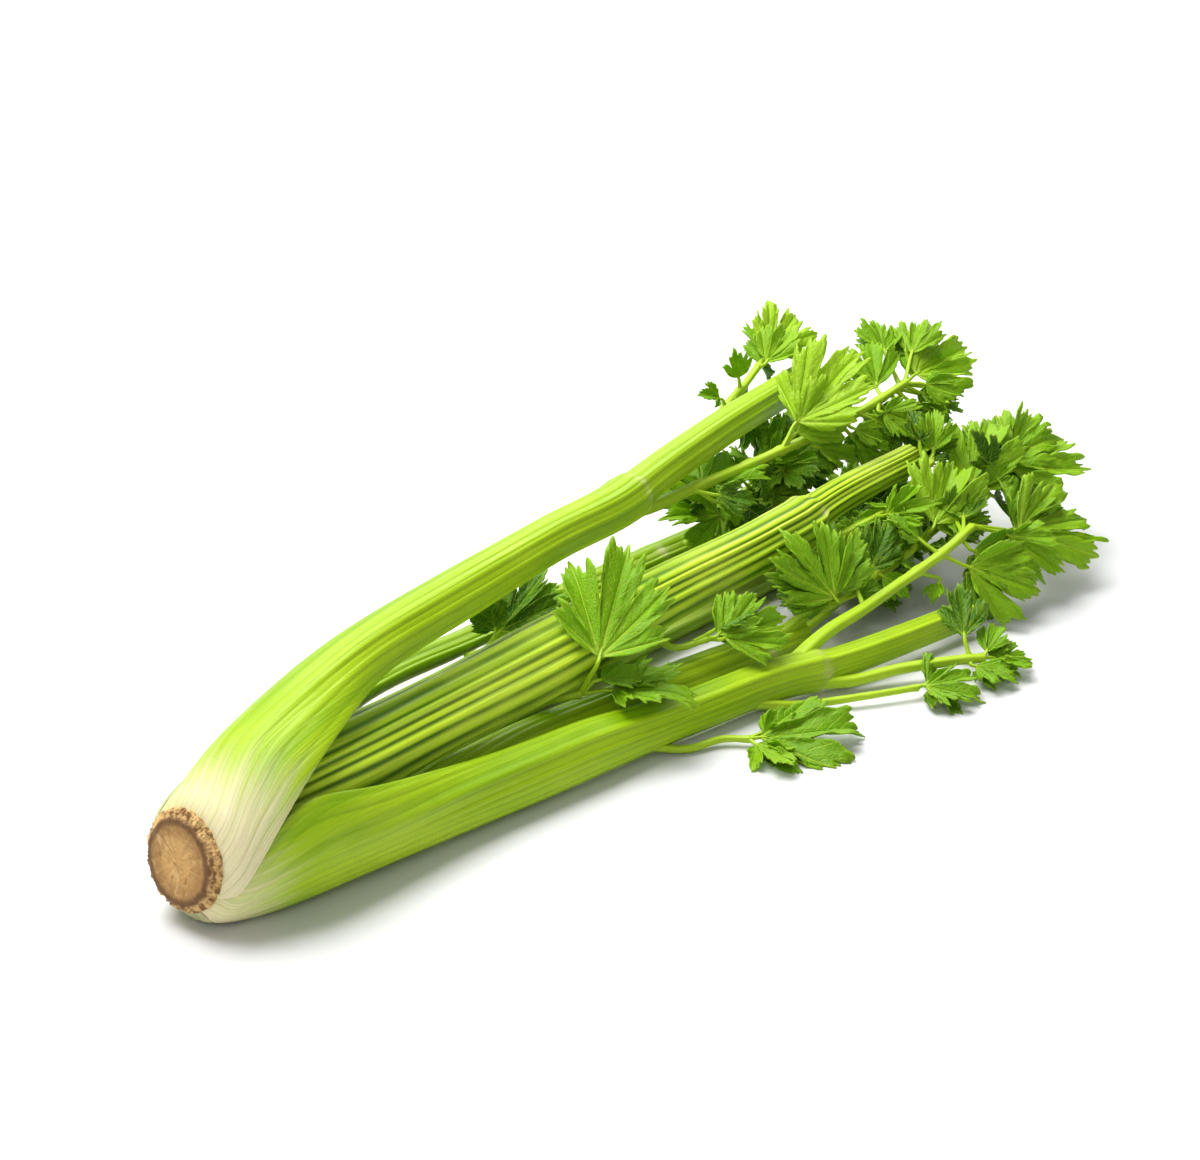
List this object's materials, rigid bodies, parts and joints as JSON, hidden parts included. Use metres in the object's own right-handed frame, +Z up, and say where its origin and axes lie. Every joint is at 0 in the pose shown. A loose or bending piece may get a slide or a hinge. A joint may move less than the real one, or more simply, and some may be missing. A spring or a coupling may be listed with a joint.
{
  "type": "head of celery",
  "caption": "Leafy head of celery lying on its side: ribbed, arched stalks that grow from one cut root plate and end in thin branches with toothed leaves.",
  "frame": {"origin": "centre of the bounding box in plan, on the surface that the head lies on", "axes": "+X along the head from the cut root end to the leaves, +Y to the back, +Z up"},
  "size_m": [0.438, 0.1844, 0.0876],
  "materials": {
    "root_tan": "matte, corky",
    "stalk_green": "satin, moist skin",
    "leaf_green": "satin leaf"
  },
  "bodies": {
    "root": {"crown": "root_tan", "stalk_upper": "stalk_green", "stalk_front": "stalk_green", "stalk_middle": "stalk_green", "stalk_back": "stalk_green", "stalk_under": "stalk_green", "stalk_low": "stalk_green", "stalk_inner": "stalk_green", "spray_upper": "leaf_green", "spray_top": "leaf_green", "spray_fan": "leaf_green", "spray_front": "leaf_green", "spray_inner": "leaf_green", "spray_middle": "leaf_green", "spray_low_outer": "leaf_green", "spray_low_inner": "leaf_green", "spray_floor": "leaf_green", "spray_small": "leaf_green", "spray_dark": "leaf_green", "spray_back": "leaf_green", "spray_under": "leaf_green", "spray_low": "leaf_green"}
  },
  "joints": []
}
